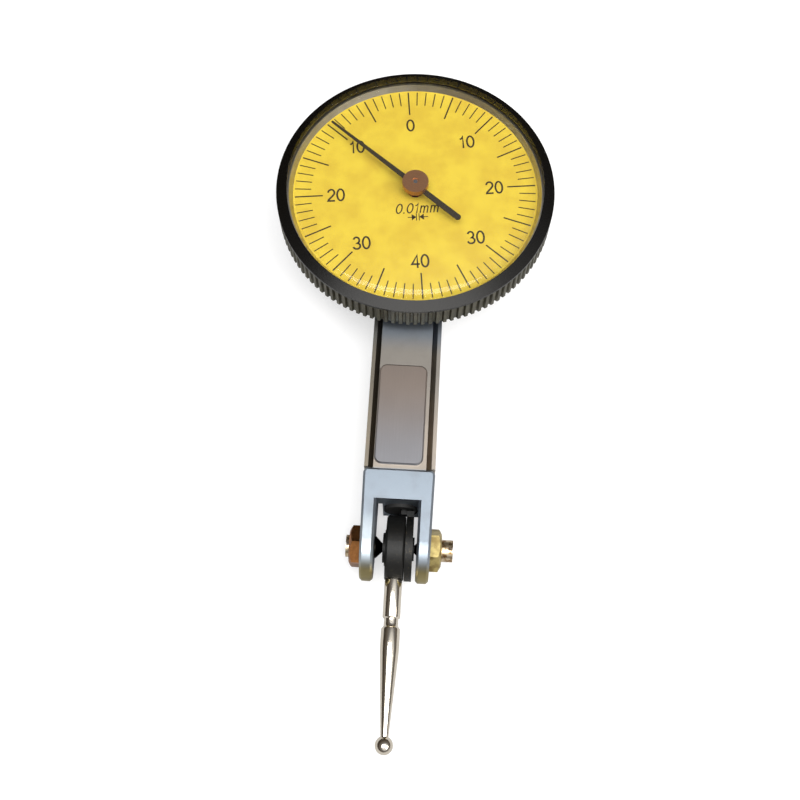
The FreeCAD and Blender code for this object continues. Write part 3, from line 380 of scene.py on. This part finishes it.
BALL_Y = -71.873
BALL_R = 1.1
HEART_Z = 4.3
stem_outline = [(0, -52.0), (0.98, -52.0), (1.08, -52.06), (1.1, -52.16), (1.1, -56.72), (1.06, -56.8),
                (0.9, -56.92), (0.88, -57.2), (0.9, -57.5), (0.9, -57.8), (1.0, -58.0), (1.15, -58.12),
                (1.18, -58.22), (1.18, -60.3), (1.165, -60.8), (1.13, -61.4), (0.48, -71.0), (0, -71.0)]
BALL_STEPS = 40
ball_outline = [(0, BALL_Y + BALL_R)]
ball_outline += [(BALL_R * math.sin(math.pi * k / BALL_STEPS),
                  BALL_Y + BALL_R * math.cos(math.pi * k / BALL_STEPS))
                 for k in range(1, BALL_STEPS)]
ball_outline += [(0, BALL_Y - BALL_R)]
for name, node, outline in (("stylus_stem", "stylus", stem_outline),
                            ("ball_tip", "contact_ball", ball_outline)):
    mesh = turned_mesh(name, outline)
    mesh.transform(Matrix.Translation((0, 0, HEART_Z * MM)) @ Matrix.Rotation(-math.pi / 2, 4, "X"))
    mesh.materials.append(polished.material)
    piece = new_piece(name, mesh)
    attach(piece, "stylus")
    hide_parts(node)


# Gear train. Brass wheels and plates on steel arbors that turn in ruby jewels, as in a watch.
def movement_brass():
    f = Finish("movement_brass", Metallic=1.0)
    at = f.place()
    grained = f.noise(f.place(stretch=(8, 0.3, 8)), 1.6, 3.0)
    tint = f.noise(at, 0.4)
    f.set(Base_Color=f.mix(tint, shade(214, 178, 96), shade(184, 140, 66)))
    f.set(Roughness=0.22 + grained * 0.16)
    f.bump(grained, 0.2)
    return f


def movement_steel():
    f = Finish("movement_steel", Metallic=1.0)
    at = f.place()
    fine = f.noise(at, 6.0, 3.0)
    f.set(Base_Color=f.mix(fine, shade(196, 198, 202), shade(146, 148, 152)))
    f.set(Roughness=0.18 + fine * 0.12)
    f.bump(fine, 0.1)
    return f


def spring_bronze():
    f = Finish("spring_bronze", Metallic=1.0)
    fine = f.noise(f.place(), 5.0, 3.0)
    f.set(Base_Color=f.mix(fine, shade(196, 128, 74), shade(150, 92, 50)))
    f.set(Roughness=0.25 + fine * 0.12)
    f.bump(fine, 0.1)
    return f


def ruby():
    f = Finish("ruby", IOR=1.76, Coat_Weight=0.5)
    depth = f.noise(f.place(), 3.0, 2.0)
    f.set(Base_Color=f.mix(depth, shade(150, 12, 48), shade(206, 40, 84)))
    f.set(Roughness=0.06 + depth * 0.08)
    return f


dress(movement_brass(), "crown_wheel", "centre_cock", "bridge_pillars", "movement_bridge",
      "hairspring_collet")
dress(movement_steel(), "sector_lever", "crown_arbor", "centre_arbor")
dress(spring_bronze(), "hairspring")
dress(ruby(), "crown_jewels", "cock_jewel", "bridge_jewel")


# Dial. A disc of brass sheet sprayed yellow, with a slanted bright ring pressed in round it.
DIAL_TURN = math.radians(6.4)
DIAL_Z = 12.6


def dial_yellow():
    f = Finish("dial_yellow", Specular_IOR_Level=0.35)
    at = f.place()
    mottle = f.noise(at, 0.35, 4.0)
    speck = f.noise(at, 5.0, 3.0, 0.7)
    tone = f.mix(f.ease(mottle, 0.3, 0.7), shade(212, 186, 56), shade(200, 170, 50))
    f.set(Base_Color=f.mix(f.ease(speck, 0.6, 0.8) * 0.35, tone, shade(176, 142, 48)))
    f.set(Roughness=0.5 + speck * 0.15)
    f.bump(speck, 0.08)
    return f


def bright_ring():
    f = Finish("bright_ring", Metallic=1.0)
    at = f.place()
    turned = f.noise(f.place(stretch=(1, 1, 9)), 2.2, 3.0)
    f.set(Base_Color=f.mix(f.noise(at, 0.5), shade(222, 218, 206), shade(176, 170, 156)))
    f.set(Roughness=0.24 + turned * 0.14)
    f.bump(turned, 0.15)
    return f


dress(dial_yellow(), "dial_face")
dress(bright_ring(), "dial_ring")


# Graduations and numerals, printed on the dial in black ink: eighty divisions of a hundredth, with a
# longer line and a number at each ten.
INK = 0.016


def printing_ink():
    f = Finish("printing_ink", Specular_IOR_Level=0.4)
    patch = f.noise(f.place(), 6.0, 3.0)
    f.set(Base_Color=f.mix(patch, shade(38, 30, 14), shade(62, 50, 22)))
    f.set(Roughness=0.45 + patch * 0.15)
    return f


ink = printing_ink()


class Tree:
    """A geometry tree with named inputs, whose nodes come from one method."""

    def __init__(self, name, **inputs):
        self.group = bpy.data.node_groups.new(name, "GeometryNodeTree")
        self.group.interface.new_socket("Geometry", in_out="INPUT", socket_type="NodeSocketGeometry")
        self.group.interface.new_socket("Geometry", in_out="OUTPUT", socket_type="NodeSocketGeometry")
        self.keys = {}
        for title, kind in inputs.items():
            made = self.group.interface.new_socket(title, in_out="INPUT", socket_type="NodeSocket" + kind)
            self.keys[title] = made.identifier
        self.start = self.group.nodes.new("NodeGroupInput")
        self.end = self.group.nodes.new("NodeGroupOutput")

    def given(self, title):
        return self.start.outputs[title]

    def node(self, kind, settings=None, inputs=None, out=0):
        made = self.group.nodes.new(kind)
        for name, value in (settings or {}).items():
            setattr(made, name, value)
        for name, value in (inputs or {}).items():
            plug = made.inputs[name]
            if isinstance(value, bpy.types.NodeSocket):
                self.group.links.new(value, plug)
            else:
                plug.default_value = value
        return made.outputs[out]

    def maths(self, operation, *terms):
        return self.node("ShaderNodeMath", {"operation": operation}, dict(enumerate(terms)))

    def finish(self, geometry, material):
        real = self.node("GeometryNodeRealizeInstances", inputs={"Geometry": geometry})
        done = self.node("GeometryNodeSetMaterial", inputs={"Geometry": real, "Material": material})
        self.group.links.new(done, self.end.inputs[0])


def grown(name, tree, **values):
    """Runs the tree on an empty mesh and keeps the result as a plain mesh."""
    seed = new_piece(name + "_seed", bpy.data.meshes.new(name + "_seed"))
    modifier = seed.modifiers.new("tree", "NODES")
    modifier.node_group = tree.group
    for title, value in values.items():
        modifier[tree.keys[title]] = value
    graph = bpy.context.evaluated_depsgraph_get()
    mesh = bpy.data.meshes.new_from_object(seed.evaluated_get(graph), depsgraph=graph)
    bpy.data.objects.remove(seed)
    return new_piece(name, mesh)


def dial_lines():
    """Bars laid like spokes, leaving out or keeping one in so many."""
    t = Tree("dial_lines", Count="Int", Inner="Float", Outer="Float", Width="Float", Thick="Float",
             Base="Float", Start="Float", Each="Int", Long="Float", Ink="Material")
    points = t.node("GeometryNodePoints", inputs={"Count": t.given("Count")})
    index = t.node("GeometryNodeInputIndex")
    place = t.maths("MODULO", index, t.given("Each"))
    is_long = t.maths("LESS_THAN", place, 0.5)
    picked = t.maths("COMPARE", is_long, t.given("Long"), 0.1)
    length = t.maths("SUBTRACT", t.given("Outer"), t.given("Inner"))
    size = t.node("ShaderNodeCombineXYZ", inputs={0: t.given("Width"), 1: length, 2: t.given("Thick")})
    bar = t.node("GeometryNodeMeshCube", inputs={"Size": size})
    middle = t.maths("MULTIPLY", t.maths("ADD", t.given("Outer"), t.given("Inner")), 0.5)
    height = t.maths("ADD", t.given("Base"), t.maths("MULTIPLY", t.given("Thick"), 0.5))
    offset = t.node("ShaderNodeCombineXYZ", inputs={1: middle, 2: height})
    moved = t.node("GeometryNodeTransform", inputs={"Geometry": bar, "Translation": offset})
    step = t.maths("DIVIDE", 2 * math.pi, t.given("Count"))
    angle = t.maths("ADD", t.maths("MULTIPLY", index, step), t.given("Start"))
    spin = t.node("ShaderNodeCombineXYZ", inputs={2: angle})
    laid = t.node("GeometryNodeInstanceOnPoints", inputs={
        "Points": points, "Selection": picked, "Instance": moved, "Rotation": spin})
    t.finish(laid, t.given("Ink"))
    return t


lines = dial_lines()
for name, inner, width, is_long in (("short_graduations", 14.31, 0.15, 0.0),
                                    ("long_graduations", 12.7, 0.2, 1.0)):
    piece = grown(name, lines, Count=80, Inner=inner * MM, Outer=16.55 * MM, Width=width * MM,
                  Thick=INK * MM, Base=DIAL_Z * MM, Start=DIAL_TURN, Each=5, Long=is_long,
                  Ink=ink.material)
    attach(piece, "bezel")


def bow(cx, cy, rx, ry, start, end, steps=14):
    """Points on part of an oval, from one angle to another."""
    turned = [math.radians(start + (end - start) * k / steps) for k in range(steps + 1)]
    return [(cx + rx * math.cos(a), cy + ry * math.sin(a)) for a in turned]


STROKES = {
    "0": (0.62, [bow(0.31, 0.5, 0.23, 0.44, 90, 450, 28)]),
    "1": (0.5, [[(0.10, 0.73), (0.19, 0.75), (0.27, 0.82), (0.31, 0.94), (0.31, 0.0)]]),
    "2": (0.62, [bow(0.31, 0.69, 0.21, 0.25, 175, -25) + [
        (0.38, 0.42), (0.24, 0.28), (0.13, 0.16), (0.09, 0.06), (0.54, 0.06)]]),
    "3": (0.62, [bow(0.29, 0.71, 0.19, 0.23, 165, -80) + bow(0.30, 0.28, 0.23, 0.22, 75, -165)]),
    "4": (0.62, [[(0.43, 0.0), (0.43, 0.93), (0.07, 0.28), (0.58, 0.28)]]),
    ".": (0.3, [[(0.15, 0.0), (0.15, 0.13)]]),
    "m": (0.86, [[(0.11, 0.0), (0.11, 0.72)],
                 [(0.11, 0.45)] + bow(0.26, 0.5, 0.14, 0.17, 155, 0, 8) + [(0.4, 0.0)],
                 [(0.4, 0.45)] + bow(0.55, 0.5, 0.14, 0.17, 155, 0, 8) + [(0.69, 0.0)]]),
    ">": (0.0, [[(-1.25, 0.5), (-0.2, 0.5)], [(-0.17, 0.0), (-0.17, 1.0)]]),
    "<": (0.0, [[(1.25, 0.5), (0.2, 0.5)], [(0.17, 0.0), (0.17, 1.0)]]),
}


def inked(body, path, width, to_dial):
    """A flat line of ink of even width along a path."""
    closed = math.dist(path[0], path[-1]) < 1e-6
    points = [Vector(p) for p in (path[:-1] if closed else path)]
    count = len(points)
    rails = []
    for k, point in enumerate(points):
        before = points[k - 1] if (k or closed) else None
        after = points[(k + 1) % count] if (k < count - 1 or closed) else None
        runs = [(b - a).normalized() for a, b in ((before, point), (point, after)) if a and b]
        along = sum(runs, Vector((0, 0))).normalized()
        miter = 1 / max(0.5, along.dot(runs[0]))
        side = Vector((-along.y, along.x)) * width / 2 * miter
        rails.append([body.verts.new(to_dial(point + side * s, z)) for s, z in
                      ((-1, 0), (1, 0), (1, INK), (-1, INK))])
    for one, two in zip(rails, rails[1:] + rails[:1] if closed else rails[1:]):
        for k in range(4):
            body.faces.new([one[k], one[(k + 1) % 4], two[(k + 1) % 4], two[k]])
    if not closed:
        body.faces.new(rails[0])
        body.faces.new(rails[-1])


def lettering(name, words, height, x, y, weight=0.125, slant=0.0):
    """Figures drawn stroke by stroke, centred on x, y of the upright dial, then turned with it."""
    body = bmesh.new()
    reach = sum(STROKES[c][0] for c in words)
    cursor = -reach / 2

    def to_dial(p, z):
        flat = Vector((x + height * (p.x + slant * (p.y - 0.5)), y + height * (p.y - 0.5), DIAL_Z + z))
        return Matrix.Rotation(DIAL_TURN, 3, "Z") @ flat * MM

    for letter in words:
        advance, paths = STROKES[letter]
        for path in paths:
            inked(body, [(cursor + u, v) for u, v in path], weight, to_dial)
        cursor += advance
    if ">" in words:
        for side in (-1, 1):
            corners = [Vector((side * 0.2, 0.5)), Vector((side * 0.75, 0.05)), Vector((side * 0.75, 0.95))]
            low, high = ([body.verts.new(to_dial(c, z)) for c in corners] for z in (0, INK))
            body.faces.new(low)
            body.faces.new(high)
            for k in range(3):
                body.faces.new([low[k], low[(k + 1) % 3], high[(k + 1) % 3], high[k]])
    bmesh.ops.recalc_face_normals(body, faces=body.faces)
    mesh = bpy.data.meshes.new(name)
    body.to_mesh(mesh)
    body.free()
    mesh.materials.append(ink.material)
    piece = new_piece(name, mesh)
    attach(piece, "bezel")


NUMERAL_R = 10.9
for place, number in enumerate((0, 10, 20, 30, 40, 30, 20, 10)):
    angle = math.radians(45 * place)
    lettering(f"numeral_{place}_{number}", str(number), 2.05, NUMERAL_R * math.sin(angle),
              NUMERAL_R * math.cos(angle))
lettering("value_of_a_division", "0.01mm", 1.62, 0.2, -2.68, weight=0.11, slant=0.22)
lettering("division_arrows", "><", 1.1, 0.1, -4.1, weight=0.11)


# Pointer and its hub. A strip of steel blacked all over, pressed on the centre arbor under a turned
# brass cap with a satin top.
def pointer_black():
    f = Finish("pointer_black", Specular_IOR_Level=0.4)
    patch = f.noise(f.place(), 4.0, 3.0)
    f.set(Base_Color=f.mix(patch, shade(30, 25, 16), shade(54, 45, 26)))
    f.set(Roughness=0.4 + patch * 0.2)
    return f


def hub_satin():
    f = Finish("hub_satin", Metallic=1.0)
    fine = f.noise(f.place(stretch=(1, 6, 1)), 3.0, 3.0)
    f.set(Base_Color=f.mix(fine, shade(196, 146, 108), shade(160, 116, 84)))
    f.set(Roughness=0.3 + fine * 0.15)
    f.bump(fine, 0.15)
    return f


dress(pointer_black(), "pointer_hand")
dress(hub_satin(), "pointer_hub")


# Bezel. A ring turned from aluminium, knurled with straight ridges round its rim and anodised black. It
# snaps over the case and turns by hand, with the dial, to set the zero.
def black_anodised():
    f = Finish("black_anodised", Metallic=0.55, Specular_IOR_Level=0.5)
    at = f.place()
    up = f.axis(at, "Z")
    dust = f.noise(at, 1.2, 5.0, 0.7)
    fine = f.noise(at, 14.0, 2.0)
    # Below the rim the knurled band is painted grey olive: partly dust, partly a painted highlight on the
    # ridges.
    knurl = f.ease(up, 13.35, 13.2)
    skin = f.mix(f.ease(dust, 0.35, 0.7), shade(66, 64, 52), shade(88, 84, 66))
    f.set(Base_Color=f.mix(knurl, shade(13, 11, 8), skin))
    f.set(Roughness=0.22 + fine * 0.1 + knurl * 0.16)
    f.bump(fine, 0.12)
    return f


dress(black_anodised(), "bezel_ring")


# Crystal. A shallow dome moulded in clear acrylic and sprung into the bezel over the pointer.
def clear_acrylic():
    f = Finish("clear_acrylic", Metallic=1.0, Roughness=0.04)
    rim = f.node("ShaderNodeLayerWeight", inputs={"Blend": 0.35}, out="Facing")
    scuff = f.noise(f.place(), 0.9, 4.0)
    f.set(Base_Color=(0.92, 0.93, 0.93, 1.0))
    f.set(Alpha=0.02 + rim * rim * 0.1 + scuff * 0.01)
    f.material.blend_method = "BLEND"
    return f


def dome(edge_radius, edge_height, top_height, steps):
    """Points up a shallow spherical dome, from its edge to its top."""
    rise = top_height - edge_height
    ball = (edge_radius ** 2 + rise ** 2) / (2 * rise)
    reach = math.asin(edge_radius / ball)
    return [(ball * math.sin(reach * (1 - k / steps)),
             top_height - ball + ball * math.cos(reach * (1 - k / steps))) for k in range(steps + 1)]


outer = [(17.95, 13.36), (17.95, 13.75), (17.45, 13.75), (17.45, 15.0), (17.3, 15.25)]
outer += dome(17.0, 15.38, 16.2, 14)
inner = [(r, z) for r, z in reversed(dome(16.5, 14.72, 15.4, 12))]
inner += [(16.65, 14.5), (16.65, 13.36)]
crystal = new_piece("crystal_glass", turned_mesh("crystal_glass", outer + inner))
crystal.data.materials.append(clear_acrylic().material)
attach(crystal, "bezel")
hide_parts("crystal")


# Bench and light. A plain pale bench top, a soft window at the right, a wide soft lamp overhead and a
# room that is bright above and dim behind the dial.
BENCH_HALF = 1.5
BENCH_DROP = 0.0002


def bench():
    mesh = bpy.data.meshes.new("bench_top")
    corners = [(x * BENCH_HALF, y * BENCH_HALF, 0) for x, y in ((-1, -1), (1, -1), (1, 1), (-1, 1))]
    mesh.from_pydata(corners, [], [(0, 1, 2, 3)])
    floor = new_piece("bench_top", mesh)
    low = cad_box[0]
    mesh.transform(Matrix.Translation((0, 0, low.z - BENCH_DROP)))
    f = Finish("bench_white", Roughness=0.9, Specular_IOR_Level=0.1)
    seen = f.node("ShaderNodeLightPath", out="Is Camera Ray")
    white = (0.55, 0.55, 0.55, 1.0)
    f.set(Emission_Color=f.mix(seen, (0.0, 0.0, 0.0, 1.0), white), Emission_Strength=1.0)
    f.set(Base_Color=(0.5, 0.5, 0.5, 1.0))
    floor.data.materials.append(f.material)


def lamp(name, place, aim, size, power, tint=(1, 1, 1)):
    data = bpy.data.lights.new(name, "AREA")
    data.shape = "RECTANGLE"
    data.size, data.size_y = size
    data.energy = power
    data.color = tint
    lamp_object = bpy.data.objects.new(name, data)
    bpy.context.scene.collection.objects.link(lamp_object)
    lamp_object.location = place
    direction = Vector(aim) - Vector(place)
    lamp_object.rotation_euler = direction.to_track_quat("-Z", "Y").to_euler()


bench()
lamp("soft_window", (0.55, -0.35, 0.6), (0, -0.03, 0), (0.5, 0.4), 4.0, (1.0, 0.97, 0.92))
lamp("soft_overhead", (0.0, -0.2, 0.8), (0, -0.04, 0), (0.7, 0.5), 6.0)


def pale_room():
    """Walls that are dim behind the dial and to the left, and bright overhead and to the right."""
    world = bpy.data.worlds.new("pale_room")
    bpy.context.scene.world = world
    world.use_nodes = True
    tree = world.node_tree
    split = tree.nodes.new("ShaderNodeSeparateXYZ")
    tree.links.new(tree.nodes.new("ShaderNodeTexCoord").outputs["Generated"], split.inputs[0])
    right, back, up = (Signal(tree, split.outputs[name]) for name in "XYZ")
    walls = tree.nodes.new("ShaderNodeValToRGB")
    set_stops(walls.color_ramp, [(0.0, (0.06, 0.05, 0.04, 1)), (0.45, (0.16, 0.14, 0.12, 1)),
                                 (0.74, (0.22, 0.22, 0.23, 1)), (0.81, (0.50, 0.50, 0.50, 1)),
                                 (0.88, (0.92, 0.94, 0.97, 1)), (1.0, (1.0, 1.0, 1.0, 1))])
    feed(tree, walls.inputs["Fac"], up - back * 0.35 + right * 0.3)
    seen = tree.nodes.new("ShaderNodeMix")
    seen.data_type = "RGBA"
    path = tree.nodes.new("ShaderNodeLightPath")
    tree.links.new(path.outputs["Is Camera Ray"], seen.inputs[0])
    tree.links.new(walls.outputs["Color"], seen.inputs[6])
    seen.inputs[7].default_value = (1.0, 1.0, 1.0, 1.0)
    tree.links.new(seen.outputs[2], tree.nodes["Background"].inputs["Color"])


pale_room()
bpy.context.scene.view_settings.view_transform = "Standard"
